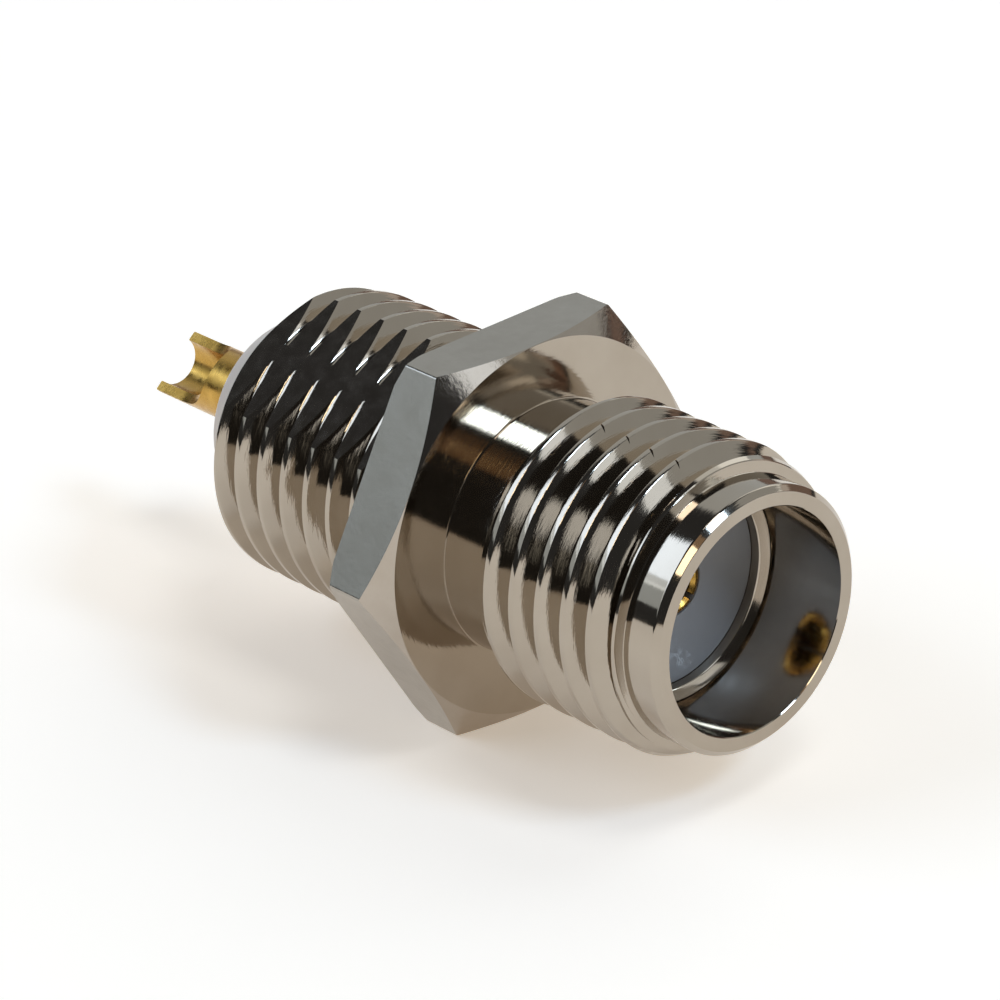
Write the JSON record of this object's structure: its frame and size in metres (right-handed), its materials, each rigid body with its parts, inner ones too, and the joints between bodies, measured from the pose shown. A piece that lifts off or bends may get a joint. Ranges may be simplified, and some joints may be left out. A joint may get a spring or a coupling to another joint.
{
  "type": "coaxial panel jack with solder cup",
  "caption": "Threaded coaxial jack for a panel hole: slotted contact in a deep bore, hexagonal flange, rear thread with a milled flat, and a solder cup at the back.",
  "frame": {"origin": "on the connector's axis, in the plane of the flange's rear face that seats on the panel", "axes": "+X along the axis towards the mating end, +Z square to the hexagon's top flat, +Y to the left of someone who looks along +X"},
  "size_m": [0.0175, 0.0092, 0.0078],
  "materials": {
    "nickel_plate": "bright nickel plate over turned brass, slightly warm",
    "ptfe": "white PTFE, waxy, turned",
    "gold_plate": "thin gold plate over a copper alloy, satin"
  },
  "bodies": {
    "root": {"shell": "nickel_plate", "front_insulator": "ptfe", "rear_insulator": "ptfe", "center_contact": "gold_plate"}
  },
  "joints": []
}
